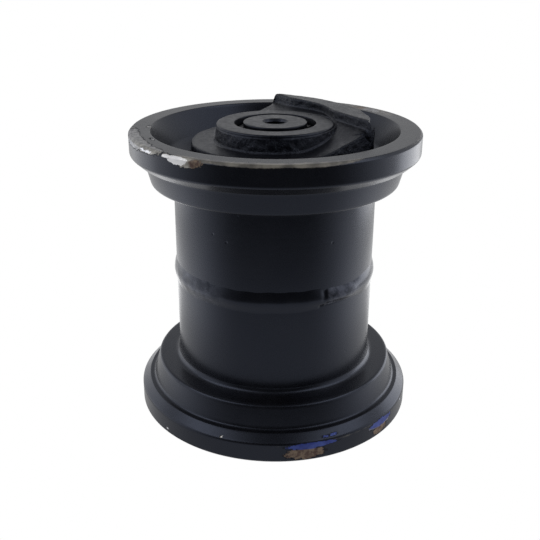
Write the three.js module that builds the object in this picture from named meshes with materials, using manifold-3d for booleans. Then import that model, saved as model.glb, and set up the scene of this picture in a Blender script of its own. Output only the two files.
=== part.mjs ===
// Track roller for a small crawler undercarriage, standing on end with its axle along +Z.
// Millimetres. The origin is on the axle, half way between the two rims.
import * as THREE from 'three';
import { mergeVertices } from 'three/addons/utils/BufferGeometryUtils.js';
import Module from 'manifold-3d';

const wasm = await Module();
wasm.setup();

// Clearance left between pieces that touch or run on each other.
const GAP = 0.3;

// Shell: outer flange, tread, narrow barrel. Heights are measured from the middle of the roller.
const RIM_HEIGHT = 82;
const FLANGE_RADIUS = 80;
const FLANGE_EDGE = 1.5;
const FLANGE_STRAIGHT_END = 70.9;
const FLANGE_ROOT_HEIGHT = 66.2;
const FLANGE_ROOT_RADIUS = 74.6;
const TREAD_OUTER_RADIUS = 72.2;
const TREAD_INNER_RADIUS = 68.8;
const TREAD_END = 53.7;
const BARREL_RADIUS = 56.6;
const ROOT_FILLET = 4;
const TREAD_ROUND = 2.5;

// Dish inside the rim, and the bores that hold the seals and bushes.
const DISH_RADIUS = 68.3;
const DISH_FLOOR_RADIUS = 49;
const DISH_FLOOR = 61;
const DISH_BOWL = [[56, 63], [61.5, 67], [64.5, 71.5]];
const SEAL_SEAT_RADIUS = 35.6;
const SEAL_SEAT_FLOOR = 54.2;
const OIL_CHAMBER_RADIUS = 42;
const OIL_CHAMBER_END = 14;

// Girth weld joining the two shell halves, in a V groove.
const WELD_HALF_WIDTH = 7;
const WELD_HEIGHT = 1.2;
const WELD_ROOT_RADIUS = 49.5;
const WELD_GROOVE_HALF_WIDTH = 5.8;

// Flanged bushes.
const BUSH_START = 22;
const BUSH_FLANGE_START = 47;
const BUSH_FLANGE_END = 51;
const BUSH_RADIUS = 25;
const BUSH_FLANGE_RADIUS = 31;

// Axle.
const JOURNAL_RADIUS = 21;
const SHAFT_END_RADIUS = 17.5;
const SHAFT_END = 85;
const SHAFT_CHAMFER = 0.6;
const THREAD_RADIUS = 6;
const THREAD_MOUTH_RADIUS = 7.3;
const THREAD_DEPTH = 30;
const OIL_HOLE_RADIUS = 4;
const PLUG_LENGTH = 9;
const PLUG_SOCKET_RADIUS = 2.6;
const PLUG_SOCKET_DEPTH = 5;

// End collars.
const PLATE_RADIUS = 46;
const PLATE_BOTTOM = 63;
const PLATE_TOP = 75;
const PLATE_EDGE = 1;
const FLARE_BOTTOM = 71;
const BOSS_RADIUS = 32.3;
const BOSS_TOP = 84.5;
const BOSS_EDGE = 1;
const HUB_RADIUS = 25;
const COUNTERBORE_RADIUS = 22.4;
const COUNTERBORE_FLOOR = 79;
const SEAL_GROOVE_TOP = 69.8;

// Raised lip of a collar: it runs from -Y to +Y, with a straight face, a bulging back and one blunt end.
const LIP_TOP = 89;
const LIP_FACE_X = 33;
const LIP_FROM_Y = -48.5;
const LIP_TO_Y = 52;
const LIP_BACK_X = 48.7;
const LIP_BACK_Y = 5;
const LIP_BACK_RADIUS = 83;
const LIP_BLUNT_Y = 48;
const LIP_HOLLOW = 5.8;
const LIP_HOLLOW_Y = 11;
const LIP_HOLLOW_HALF_LENGTH = 22;

// Flare of the plate under the lip, and the ramp on it. The lip reaches past its -Y side.
const FLARE_FROM_Y = -42;
const FLARE_TO_Y = 50.5;
const RAMP_START_X = 6;
const RAMP_TOP = 84;

// Retaining rings, lock pins and small rubber rings.
const RING_THICKNESS = 1.8;
const RING_OUTER_RADIUS = 20.8;
const RING_GROOVE_RADIUS = 16.2;
const RING_HALF_OPENING = 0.16;
const PIN_RADIUS = 2.5;
const PIN_BOTTOM = 66;
const O_RING_HEIGHT = 58.4;
const O_RING_SECTION = 1.1;

// Floating face seals.
const SEAL_FACE = 62;
const SEAL_RING_INNER_RADIUS = 27.2;
const SEAL_RING_OUTER_RADIUS = 34.2;
const SEAL_RING_FOOT = 7.5;
const SEAL_CUSHION_RADIUS = 32.7;
const SEAL_CUSHION_SECTION = 2.6;
const SEAL_CUSHION_OFFSET = 4.9;

// Steps round a turned piece, by how large it is.
const STEPS_LARGE = 60;
const STEPS_MEDIUM = 40;
const STEPS_SMALL = 28;
const SECTION_STEPS = 6;

const COLOURS = {
  paint: { color: 0x17171c, roughness: 0.42, metalness: 0.1 },
  forging: { color: 0x1c1c20, roughness: 0.6, metalness: 0.1 },
  axle: { color: 0x1f1f23, roughness: 0.45, metalness: 0.4 },
  weld: { color: 0x1b1a1e, roughness: 0.35, metalness: 0.2 },
  steel: { color: 0x85878c, roughness: 0.3, metalness: 1 },
  bronze: { color: 0xa8743c, roughness: 0.35, metalness: 1 },
  seal: { color: 0x6c6f75, roughness: 0.2, metalness: 1 },
  rubber: { color: 0x141414, roughness: 0.85, metalness: 0 },
};

const group = new THREE.Group();
group.name = 'track_roller';

function addPiece(name, geometry, colours) {
  const mesh = new THREE.Mesh(geometry, new THREE.MeshStandardMaterial(colours));
  mesh.name = name;
  group.add(mesh);
}

// Turned solid about Z from [radius, height] corners. A profile clear of the axis is closed on itself.
function turned(corners, steps) {
  const points = corners.map(([radius, height]) => new THREE.Vector2(radius, height));
  if (THREE.ShapeUtils.area(points) < 0) {
    points.reverse();
  }
  const touchesAxis = points.some((point) => point.x === 0);
  if (!touchesAxis) {
    points.push(points[0].clone());
  }
  return new THREE.LatheGeometry(points, steps).rotateX(Math.PI / 2);
}

// Flat outline raised from one height to another.
function raised(shape, bottom, top) {
  const options = { depth: top - bottom, bevelEnabled: false, curveSegments: 24 };
  return new THREE.ExtrudeGeometry(shape, options).translate(0, 0, bottom);
}

function cylinder(radius, bottom, top, steps) {
  const geometry = new THREE.CylinderGeometry(radius, radius, top - bottom, steps);
  return geometry.rotateX(Math.PI / 2).translate(0, 0, (top + bottom) / 2);
}

function torus(radius, section, height) {
  return new THREE.TorusGeometry(radius, section, SECTION_STEPS, STEPS_SMALL).translate(0, 0, height);
}

// The same piece for the other end of the roller.
function mirroredDown(geometry) {
  const flipped = geometry.clone();
  flipped.scale(1, 1, -1);
  const index = flipped.index.array;
  for (let i = 0; i < index.length; i += 3) {
    [index[i], index[i + 1]] = [index[i + 1], index[i]];
  }
  flipped.computeVertexNormals();
  return flipped;
}

function solid(geometry) {
  const bare = geometry.clone();
  bare.deleteAttribute('normal');
  bare.deleteAttribute('uv');
  const merged = mergeVertices(bare.index ? bare : mergeVertices(bare), 1e-4);
  const source = merged.index.array;
  const triangles = [];
  for (let i = 0; i < source.length; i += 3) {
    const [a, b, c] = [source[i], source[i + 1], source[i + 2]];
    if (a !== b && b !== c && c !== a) {
      triangles.push(a, b, c);
    }
  }
  return new wasm.Manifold(new wasm.Mesh({
    numProp: 3,
    vertProperties: new Float32Array(merged.attributes.position.array),
    triVerts: new Uint32Array(triangles),
  }));
}

function geometryOf(body) {
  const mesh = body.getMesh();
  const geometry = new THREE.BufferGeometry();
  geometry.setAttribute('position', new THREE.BufferAttribute(new Float32Array(mesh.vertProperties), 3));
  geometry.setIndex(new THREE.BufferAttribute(new Uint32Array(mesh.triVerts), 1));
  geometry.computeVertexNormals();
  return geometry;
}

// Corners of a rounded inside corner, from angle to angle about a centre.
function arc(radius, height, size, from, to, steps) {
  const corners = [];
  for (let i = 0; i <= steps; i += 1) {
    const angle = from + ((to - from) * i) / steps;
    corners.push([radius + size * Math.cos(angle), height + size * Math.sin(angle)]);
  }
  return corners;
}

function shellHalf() {
  const boreRadius = BUSH_RADIUS + GAP;
  const flangeBore = BUSH_FLANGE_RADIUS + GAP;
  return turned([
    [OIL_CHAMBER_RADIUS, GAP / 2],
    [OIL_CHAMBER_RADIUS, OIL_CHAMBER_END],
    [boreRadius, BUSH_START - 2],
    [boreRadius, BUSH_FLANGE_START - GAP],
    [flangeBore, BUSH_FLANGE_START - GAP],
    [flangeBore, SEAL_SEAT_FLOOR],
    [SEAL_SEAT_RADIUS, SEAL_SEAT_FLOOR],
    [SEAL_SEAT_RADIUS, DISH_FLOOR],
    [DISH_FLOOR_RADIUS, DISH_FLOOR],
    ...DISH_BOWL,
    [DISH_RADIUS - 0.5, RIM_HEIGHT - 1.2],
    [DISH_RADIUS, RIM_HEIGHT],
    [FLANGE_RADIUS - FLANGE_EDGE, RIM_HEIGHT],
    [FLANGE_RADIUS, RIM_HEIGHT - FLANGE_EDGE],
    [FLANGE_RADIUS, FLANGE_STRAIGHT_END],
    [FLANGE_ROOT_RADIUS, FLANGE_ROOT_HEIGHT],
    [TREAD_OUTER_RADIUS, FLANGE_ROOT_HEIGHT],
    [TREAD_INNER_RADIUS, TREAD_END + TREAD_ROUND],
    [TREAD_INNER_RADIUS - TREAD_ROUND, TREAD_END],
    ...arc(BARREL_RADIUS + ROOT_FILLET, TREAD_END - ROOT_FILLET, ROOT_FILLET, Math.PI / 2, Math.PI, 3),
    [BARREL_RADIUS, WELD_GROOVE_HALF_WIDTH],
    [WELD_ROOT_RADIUS, 1],
    [WELD_ROOT_RADIUS, GAP / 2],
  ], STEPS_LARGE);
}

// The bead lies on the barrel on both sides of the groove and reaches down to its root.
function centreWeld() {
  const half = [
    [BARREL_RADIUS + GAP, WELD_HALF_WIDTH],
    [BARREL_RADIUS + 0.8, WELD_HALF_WIDTH - 1],
    [BARREL_RADIUS + WELD_HEIGHT - 0.2, WELD_HALF_WIDTH / 2],
    [BARREL_RADIUS + WELD_HEIGHT, 0],
  ];
  const crown = [...half, ...half.slice(0, -1).reverse().map(([radius, height]) => [radius, -height])];
  const groove = WELD_GROOVE_HALF_WIDTH - GAP;
  return turned([
    ...crown,
    [BARREL_RADIUS + GAP, -groove],
    [WELD_ROOT_RADIUS + GAP, -0.6],
    [WELD_ROOT_RADIUS + GAP, 0.6],
    [BARREL_RADIUS + GAP, groove],
  ], STEPS_LARGE);
}

function flangedBush() {
  return turned([
    [JOURNAL_RADIUS + GAP, BUSH_START],
    [BUSH_RADIUS, BUSH_START],
    [BUSH_RADIUS, BUSH_FLANGE_START],
    [BUSH_FLANGE_RADIUS, BUSH_FLANGE_START],
    [BUSH_FLANGE_RADIUS, BUSH_FLANGE_END],
    [JOURNAL_RADIUS + GAP, BUSH_FLANGE_END],
  ], STEPS_SMALL);
}

// Outline of one end of the axle, from its middle to the bottom of its threaded hole.
function shaftEndCorners() {
  const ringBottom = COUNTERBORE_FLOOR + GAP;
  const ringTop = ringBottom + RING_THICKNESS;
  return [
    [JOURNAL_RADIUS, BUSH_FLANGE_END - 1],
    [JOURNAL_RADIUS - 1, BUSH_FLANGE_END],
    [SHAFT_END_RADIUS, BUSH_FLANGE_END],
    [SHAFT_END_RADIUS, ringBottom - GAP / 2],
    [RING_GROOVE_RADIUS, ringBottom - GAP / 2],
    [RING_GROOVE_RADIUS, ringTop + GAP],
    [SHAFT_END_RADIUS, ringTop + GAP],
    [SHAFT_END_RADIUS, SHAFT_END - SHAFT_CHAMFER],
    [SHAFT_END_RADIUS - SHAFT_CHAMFER, SHAFT_END],
    [THREAD_MOUTH_RADIUS, SHAFT_END],
    [THREAD_RADIUS, SHAFT_END - (THREAD_MOUTH_RADIUS - THREAD_RADIUS)],
    [THREAD_RADIUS, SHAFT_END - THREAD_DEPTH],
  ];
}

// Half round slot for a lock pin, shared by the axle and a collar on their joint line.
function pinSlot() {
  const slot = cylinder(PIN_RADIUS + GAP, PIN_BOTTOM - GAP, COUNTERBORE_FLOOR + 1, 16);
  return slot.translate(-SHAFT_END_RADIUS, 0, 0);
}

function shaft() {
  const end = shaftEndCorners();
  const otherEnd = end.map(([radius, height]) => [radius, -height]).reverse();
  const oilHoleEnd = SHAFT_END - THREAD_DEPTH - 2;
  const blank = turned([[0, -oilHoleEnd], ...otherEnd, ...end, [0, oilHoleEnd]], STEPS_MEDIUM);
  const galleryTop = SHAFT_END - THREAD_DEPTH + 1;
  const gallery = cylinder(OIL_HOLE_RADIUS, -OIL_HOLE_RADIUS, galleryTop, 16);
  const crossHole = new THREE.CylinderGeometry(OIL_HOLE_RADIUS, OIL_HOLE_RADIUS, 3 * JOURNAL_RADIUS, 16);
  const slot = solid(pinSlot());
  const lowerSlot = solid(mirroredDown(pinSlot()));
  const body = solid(blank)
    .subtract(solid(gallery))
    .subtract(solid(crossHole))
    .subtract(slot)
    .subtract(lowerSlot);
  return geometryOf(body);
}

// Plug that closes the oil gallery at the bottom of the upper threaded hole.
function oilPlug() {
  const top = SHAFT_END - THREAD_DEPTH;
  const bottom = top - PLUG_LENGTH;
  const socket = new THREE.CylinderGeometry(PLUG_SOCKET_RADIUS, PLUG_SOCKET_RADIUS, PLUG_SOCKET_DEPTH, 6);
  socket.rotateX(Math.PI / 2).translate(0, 0, top - PLUG_SOCKET_DEPTH / 2 + 0.01);
  const body = solid(cylinder(OIL_HOLE_RADIUS - GAP, bottom, top, STEPS_SMALL));
  return geometryOf(body.subtract(solid(socket)));
}

// Face of the lip towards the boss: straight, with one shallow hollow in it.
function lipFaceX(y) {
  const across = Math.max(-1, Math.min(1, (y - LIP_HOLLOW_Y) / LIP_HOLLOW_HALF_LENGTH));
  return LIP_FACE_X + (LIP_HOLLOW * (1 + Math.cos(Math.PI * across))) / 2;
}

// Back of the lip: one arc from end to end.
function lipBackX(y) {
  const drop = LIP_BACK_RADIUS - Math.sqrt(LIP_BACK_RADIUS ** 2 - (y - LIP_BACK_Y) ** 2);
  return LIP_BACK_X - drop;
}

function lipShape() {
  const points = [];
  const steps = 14;
  for (let i = 0; i <= steps; i += 1) {
    const y = LIP_FROM_Y + ((LIP_BLUNT_Y - LIP_FROM_Y) * i) / steps;
    points.push(new THREE.Vector2(lipBackX(y), y));
  }
  points.push(new THREE.Vector2(LIP_FACE_X + 1, LIP_TO_Y));
  points.push(new THREE.Vector2(LIP_FACE_X, LIP_TO_Y - 1));
  for (let i = 0; i <= steps; i += 1) {
    const y = LIP_HOLLOW_Y + LIP_HOLLOW_HALF_LENGTH * (1 - (2 * i) / steps);
    points.push(new THREE.Vector2(lipFaceX(y), y));
  }
  points.push(new THREE.Vector2(LIP_FACE_X, FLARE_FROM_Y));
  return new THREE.Shape(points);
}

// Angle at which a line from an outside point touches the round plate, on the far side from +X.
function tangentAngle(x, y) {
  return Math.atan2(Math.abs(y), x) + Math.acos(PLATE_RADIUS / Math.hypot(x, y));
}

// Round plate drawn out by two tangents to the ends of the lip.
function plateShape() {
  const underLip = LIP_FACE_X + 3;
  const from = tangentAngle(LIP_FACE_X, FLARE_TO_Y);
  const to = 2 * Math.PI - tangentAngle(LIP_FACE_X, FLARE_FROM_Y);
  const shape = new THREE.Shape();
  shape.moveTo(LIP_FACE_X, FLARE_FROM_Y);
  shape.lineTo(underLip, FLARE_FROM_Y + 2);
  shape.lineTo(underLip, FLARE_TO_Y - 2);
  shape.lineTo(LIP_FACE_X, FLARE_TO_Y);
  shape.absarc(0, 0, PLATE_RADIUS, from, to, false);
  shape.closePath();
  return shape;
}

// Side view of the plate and its ramp, as a prism right across the collar.
function rampPrism() {
  const reach = 2 * PLATE_RADIUS;
  const side = new THREE.Shape();
  side.moveTo(-reach, FLARE_BOTTOM);
  side.lineTo(reach, FLARE_BOTTOM);
  side.lineTo(reach, RAMP_TOP);
  side.lineTo(LIP_FACE_X, RAMP_TOP);
  side.lineTo(RAMP_START_X, PLATE_TOP - PLATE_EDGE);
  side.lineTo(-reach, PLATE_TOP - PLATE_EDGE);
  side.closePath();
  const options = { depth: 2 * reach, bevelEnabled: false };
  return new THREE.ExtrudeGeometry(side, options).rotateX(Math.PI / 2).translate(0, reach, 0);
}

// Hub, round plate and boss.
function collarRound() {
  return turned([
    [0, BUSH_FLANGE_END + GAP],
    [HUB_RADIUS, BUSH_FLANGE_END + GAP],
    [HUB_RADIUS, PLATE_BOTTOM],
    [PLATE_RADIUS, PLATE_BOTTOM],
    [PLATE_RADIUS, PLATE_TOP - PLATE_EDGE],
    [PLATE_RADIUS - PLATE_EDGE, PLATE_TOP],
    [BOSS_RADIUS + 2.5, PLATE_TOP],
    [BOSS_RADIUS, PLATE_TOP + 2.5],
    [BOSS_RADIUS, BOSS_TOP - BOSS_EDGE],
    [BOSS_RADIUS - BOSS_EDGE, BOSS_TOP],
    [0, BOSS_TOP],
  ], STEPS_MEDIUM);
}

function collarBore() {
  const bore = SHAFT_END_RADIUS + GAP;
  const groove = O_RING_SECTION + GAP;
  const grooveRadius = bore + 2 * O_RING_SECTION + GAP;
  return turned([
    [0, BUSH_FLANGE_END - 1],
    [bore, BUSH_FLANGE_END - 1],
    [bore, O_RING_HEIGHT - groove],
    [grooveRadius, O_RING_HEIGHT - groove],
    [grooveRadius, O_RING_HEIGHT + groove],
    [bore, O_RING_HEIGHT + groove],
    [bore, COUNTERBORE_FLOOR],
    [COUNTERBORE_RADIUS, COUNTERBORE_FLOOR],
    [COUNTERBORE_RADIUS, BOSS_TOP + 1],
    [0, BOSS_TOP + 1],
  ], STEPS_MEDIUM);
}

function sealGroove() {
  return turned([
    [HUB_RADIUS, PLATE_BOTTOM - 1],
    [SEAL_SEAT_RADIUS, PLATE_BOTTOM - 1],
    [SEAL_SEAT_RADIUS, SEAL_GROOVE_TOP],
    [HUB_RADIUS, SEAL_GROOVE_TOP],
  ], STEPS_MEDIUM);
}

function endCollar() {
  const flare = solid(raised(plateShape(), FLARE_BOTTOM, LIP_TOP)).intersect(solid(rampPrism()));
  const lip = solid(raised(lipShape(), FLARE_BOTTOM, LIP_TOP));
  const body = solid(collarRound())
    .add(flare)
    .add(lip)
    .subtract(solid(sealGroove()))
    .subtract(solid(collarBore()))
    .subtract(solid(pinSlot()));
  return geometryOf(body);
}

// Open ring that snaps into the groove near the end of the axle and holds the collar on.
function retainingRing() {
  const shape = new THREE.Shape();
  const from = Math.PI / 2 + RING_HALF_OPENING;
  const to = (5 * Math.PI) / 2 - RING_HALF_OPENING;
  shape.absarc(0, 0, RING_OUTER_RADIUS, from, to, false);
  shape.absarc(0, 0, RING_GROOVE_RADIUS + GAP, to, from, true);
  shape.closePath();
  const bottom = COUNTERBORE_FLOOR + GAP;
  return mergeVertices(raised(shape, bottom, bottom + RING_THICKNESS));
}

function lockPin() {
  return cylinder(PIN_RADIUS, PIN_BOTTOM, COUNTERBORE_FLOOR, 16).translate(-SHAFT_END_RADIUS, 0, 0);
}

function shaftSeal() {
  const radius = SHAFT_END_RADIUS + GAP + O_RING_SECTION;
  return torus(radius, O_RING_SECTION, O_RING_HEIGHT);
}

// Hard metal ring, L shaped in section. side is -1 for the ring in the shell, +1 for the collar's.
function sealRing(side) {
  const height = (offset) => SEAL_FACE + side * offset;
  return turned([
    [SEAL_RING_INNER_RADIUS, height(GAP / 2)],
    [SEAL_RING_OUTER_RADIUS, height(GAP / 2)],
    [SEAL_RING_OUTER_RADIUS, height(2)],
    [SEAL_RING_INNER_RADIUS + 2.6, height(2)],
    [SEAL_RING_INNER_RADIUS + 1.9, height(SEAL_RING_FOOT)],
    [SEAL_RING_INNER_RADIUS, height(SEAL_RING_FOOT)],
  ], STEPS_SMALL);
}

function sealCushion(side) {
  const height = SEAL_FACE + side * SEAL_CUSHION_OFFSET;
  return torus(SEAL_CUSHION_RADIUS, SEAL_CUSHION_SECTION, height);
}

function addPair(name, geometry, colours) {
  addPiece(`${name}_upper`, geometry, colours);
  addPiece(`${name}_lower`, mirroredDown(geometry), colours);
}

addPair('shell_half', shellHalf(), COLOURS.paint);
addPiece('centre_weld', centreWeld(), COLOURS.weld);
addPair('flanged_bush', flangedBush(), COLOURS.bronze);
addPiece('shaft', shaft(), COLOURS.axle);
addPiece('oil_plug', oilPlug(), COLOURS.steel);
addPair('end_collar', endCollar(), COLOURS.forging);
addPair('retaining_ring', retainingRing(), COLOURS.steel);
addPair('lock_pin', lockPin(), COLOURS.steel);
addPair('shaft_seal', shaftSeal(), COLOURS.rubber);
addPair('turning_seal_ring', sealRing(-1), COLOURS.seal);
addPair('fixed_seal_ring', sealRing(1), COLOURS.seal);
addPair('turning_seal_cushion', sealCushion(-1), COLOURS.rubber);
addPair('fixed_seal_cushion', sealCushion(1), COLOURS.rubber);

export default group;
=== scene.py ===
import math
import bmesh
import bpy
import numpy as np
from mathutils import Matrix, Vector


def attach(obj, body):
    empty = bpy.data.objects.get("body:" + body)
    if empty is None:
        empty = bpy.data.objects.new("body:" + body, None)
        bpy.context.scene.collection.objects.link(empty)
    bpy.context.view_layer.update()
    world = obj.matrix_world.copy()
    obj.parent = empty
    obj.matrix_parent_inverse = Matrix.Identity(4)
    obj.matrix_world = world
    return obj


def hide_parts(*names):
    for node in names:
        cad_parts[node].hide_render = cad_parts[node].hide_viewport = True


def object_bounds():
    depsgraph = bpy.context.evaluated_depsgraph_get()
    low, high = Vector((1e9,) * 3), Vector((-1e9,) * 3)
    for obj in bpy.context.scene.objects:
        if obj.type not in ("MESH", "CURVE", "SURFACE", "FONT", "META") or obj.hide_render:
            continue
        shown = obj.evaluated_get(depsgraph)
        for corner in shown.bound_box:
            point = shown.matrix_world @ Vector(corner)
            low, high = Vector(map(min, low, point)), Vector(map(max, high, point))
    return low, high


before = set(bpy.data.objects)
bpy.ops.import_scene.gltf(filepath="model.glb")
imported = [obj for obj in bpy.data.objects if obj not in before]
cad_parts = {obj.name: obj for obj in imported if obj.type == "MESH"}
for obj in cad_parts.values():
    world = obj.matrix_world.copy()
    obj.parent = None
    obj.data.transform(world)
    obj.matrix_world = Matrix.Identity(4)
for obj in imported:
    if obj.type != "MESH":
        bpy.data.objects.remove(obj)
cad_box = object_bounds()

# Roller shell, two like halves.
# Each half is a steel forging: flange, tread and half of the narrow barrel, turned outside and bored inside
# for a seal and a bush. Sprayed satin black after welding; the rims are scuffed to bare metal by handling.

ENDS = {"upper": 1, "lower": -1}
MM = 0.001


# Above each of these rounds, in millimetres, an arc is made of more points.
SMALL_ROUND, LARGE_ROUND = 0.45, 2.5


def rounded_path(corners, closed=True):
    """Path in the (radius, height) half plane through corners of (radius, height, round, step), in mm.

    Every corner becomes the arc of its own round that touches both sides. With h half the angle at the
    corner, the arc starts round / tan(h) along a side and its centre lies round / sin(h) along the bisector.
    The straight run after a corner is cut into pieces of about its step."""
    corners = np.array(corners, float)
    points, rounds, steps = corners[:, :2], corners[:, 2:3], corners[:, 3]
    back = np.roll(points, 1, 0) - points
    on = np.roll(points, -1, 0) - points
    back /= np.linalg.norm(back, axis=1, keepdims=True)
    on /= np.linalg.norm(on, axis=1, keepdims=True)
    half = 0.5 * np.arccos(np.clip((back * on).sum(1, keepdims=True), -0.99999, 0.99999))
    bisector = back + on
    bisector /= np.linalg.norm(bisector, axis=1, keepdims=True)
    centre = points + bisector * rounds / np.sin(half)
    first = points + back * rounds / np.tan(half) - centre
    last = points + on * rounds / np.tan(half) - centre
    turn = np.pi - 2 * half
    runs = []
    for i in range(len(points)):
        arc_points = 12 if rounds[i, 0] > LARGE_ROUND else 6 if rounds[i, 0] > SMALL_ROUND else 3
        along = np.linspace(0, 1, arc_points)[:, None]
        swing = np.sin((1 - along) * turn[i]) * first[i] + np.sin(along * turn[i]) * last[i]
        arc = centre[i] + swing / np.sin(turn[i])
        runs.append(arc if rounds[i, 0] > 0 else arc[:1])
        if closed or i < len(points) - 1:
            j = (i + 1) % len(points)
            start, end = centre[i] + last[i], centre[j] + first[j]
            pieces = max(1, int(round(np.linalg.norm(end - start) / steps[i])))
            runs.append(start + (end - start) * np.arange(1, pieces)[:, None] / pieces)
    path = np.concatenate(runs)
    apart = np.linalg.norm(path - np.roll(path, 1, 0), axis=1) > 1e-3
    return path[apart]


def turned(path, angles):
    """Grid of points for a path turned round the axle: (radius cos a, radius sin a, height), in metres."""
    radius, height = path[:, :1], path[:, 1:]
    around = np.ones_like(angles)[None, :]
    return MM * np.stack([radius * np.cos(angles), radius * np.sin(angles), height * around], -1)


def full_turn(columns):
    """Angles of evenly spread columns once round the axle, in radians."""
    return np.arange(columns) * 2 * np.pi / columns


def surface(name, points, material, body, stands_for, closed=True, values=None):
    """Closed piece from a grid of points. Columns join up round the axle; rows join up when closed, and
    otherwise start and end in poles. Winding follows the sign of the volume, so faces point outwards."""
    rows, columns = points.shape[:2]
    here = np.arange(rows * columns).reshape(rows, columns)
    beside = np.roll(here, -1, 1)
    faces = np.stack([here, beside, np.roll(beside, -1, 0), np.roll(here, -1, 0)], -1)
    faces = (faces if closed else faces[:-1]).reshape(-1, 4)
    flat = points.reshape(-1, 3)
    a, b, c, d = (flat[faces[:, k]] for k in range(4))
    volume = np.sum(a * np.cross(b, c)) + np.sum(a * np.cross(c, d))
    if volume < 0:
        faces = faces[:, ::-1]
    mesh = bpy.data.meshes.new(name)
    mesh.vertices.add(len(flat))
    mesh.vertices.foreach_set("co", flat.astype(np.float32).ravel())
    mesh.loops.add(faces.size)
    mesh.loops.foreach_set("vertex_index", faces.astype(np.int32).ravel())
    mesh.polygons.add(len(faces))
    mesh.polygons.foreach_set("loop_start", np.arange(0, faces.size, 4, dtype=np.int32))
    mesh.update(calc_edges=True)
    for key, value in (values or {}).items():
        layer = mesh.attributes.new(key, "FLOAT", "POINT")
        layer.data.foreach_set("value", np.asarray(value, np.float32).ravel())
    if not closed:
        work = bmesh.new()
        work.from_mesh(mesh)
        bmesh.ops.remove_doubles(work, verts=work.verts, dist=1e-7)
        work.to_mesh(mesh)
        work.free()
    mesh.polygons.foreach_set("use_smooth", np.ones(len(mesh.polygons), bool))
    mesh.set_sharp_from_angle(angle=math.radians(40))
    mesh.materials.append(material)
    piece = bpy.data.objects.new(name, mesh)
    bpy.context.scene.collection.objects.link(piece)
    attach(piece, body)
    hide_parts(*stands_for)
    return piece


def waves(points, lengths, seed, count=24):
    """Smooth unevenness between about -1 and 1: a sum of plane sine waves in random directions, whose
    lengths are spread over the given range in millimetres."""
    source = np.random.default_rng(seed)
    direction = source.normal(size=(3, count))
    direction /= np.linalg.norm(direction, axis=0)
    length = MM * source.uniform(*lengths, count)
    phase = source.uniform(0, 2 * np.pi, count)
    return np.sin(points @ (direction * 2 * np.pi / length) + phase).sum(-1) / math.sqrt(0.5 * count) * 0.6


def add(tree, kind, links=None, **settings):
    """New shader node. Each link is a plain value for an input, or the output that feeds it."""
    node = tree.nodes.new(kind)
    for key, value in settings.items():
        setattr(node, key, value)
    for key, value in (links or {}).items():
        if isinstance(value, bpy.types.NodeSocket):
            tree.links.new(value, node.inputs[key])
        else:
            node.inputs[key].default_value = value
    return node


def place_on(tree):
    """Place on the piece itself, in metres from the middle of the axle."""
    return add(tree, "ShaderNodeTexCoord").outputs["Object"]


def noise(tree, place, scale, detail=3.0, roughness=0.5):
    links = {"Vector": place, "Scale": scale, "Detail": detail, "Roughness": roughness}
    return add(tree, "ShaderNodeTexNoise", links).outputs["Fac"]


def ramp(tree, value, low, high, to_low=0.0, to_high=1.0):
    """Smooth step that leads from to_low, where the value is low, to to_high, where it is high."""
    links = {"Value": value, "From Min": low, "From Max": high, "To Min": to_low, "To Max": to_high}
    return add(tree, "ShaderNodeMapRange", links, interpolation_type="SMOOTHSTEP").outputs["Result"]


def combine(tree, operation, a, b):
    return add(tree, "ShaderNodeMath", {0: a, 1: b}, operation=operation).outputs[0]


def plus(tree, a, b):
    return combine(tree, "ADD", a, b)


def minus(tree, a, b):
    return combine(tree, "SUBTRACT", a, b)


def times(tree, a, b):
    return combine(tree, "MULTIPLY", a, b)


def larger(tree, a, b):
    return combine(tree, "MAXIMUM", a, b)


def blend_value(tree, factor, a, b):
    return add(tree, "ShaderNodeMix", {0: factor, 2: a, 3: b}).outputs[0]


def blend_colour(tree, factor, a, b):
    """Factor 0 gives a and 1 gives b. The mix node's colour sockets are its seventh and eighth."""
    return add(tree, "ShaderNodeMix", {0: factor, 6: a, 7: b}, data_type="RGBA").outputs[2]


def group_of(name, inputs, outputs):
    """Empty shader group with named sockets, and its input and output nodes."""
    group = bpy.data.node_groups.new(name, "ShaderNodeTree")
    for key, (kind, value) in inputs.items():
        socket = group.interface.new_socket(key, in_out="INPUT", socket_type=kind)
        socket.default_value = value
    for key, kind in outputs.items():
        group.interface.new_socket(key, in_out="OUTPUT", socket_type=kind)
    return group, group.nodes.new("NodeGroupInput"), group.nodes.new("NodeGroupOutput")


def sprayed_paint():
    """Satin black spray paint: a little uneven in colour and gloss, with fine orange peel."""
    group, given, result = group_of(
        "sprayed_paint",
        {
            "Colour": ("NodeSocketColor", (0.0040, 0.0040, 0.0055, 1)),
            "Dull Colour": ("NodeSocketColor", (0.0075, 0.0075, 0.0095, 1)),
            "Roughness": ("NodeSocketFloat", 0.27),
            "Unevenness": ("NodeSocketFloat", 0.10),
            "Peel": ("NodeSocketFloat", 0.15),
        },
        {"Colour": "NodeSocketColor", "Roughness": "NodeSocketFloat", "Height": "NodeSocketFloat"},
    )
    place = place_on(group)
    cloud = noise(group, place, 38.0, 4.0, 0.6)
    fine = noise(group, place, 500.0, 2.0, 0.5)
    dull = ramp(group, cloud, 0.35, 0.75)
    colour = blend_colour(group, dull, given.outputs["Colour"], given.outputs["Dull Colour"])
    swing = times(group, minus(group, cloud, 0.5), given.outputs["Unevenness"])
    grain = times(group, minus(group, fine, 0.5), given.outputs["Unevenness"])
    rough = plus(group, given.outputs["Roughness"], plus(group, swing, grain))
    peel = times(group, noise(group, place, 420.0, 2.0, 0.4), given.outputs["Peel"])
    group.links.new(colour, result.inputs["Colour"])
    group.links.new(rough, result.inputs["Roughness"])
    group.links.new(peel, result.inputs["Height"])
    return group


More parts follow.
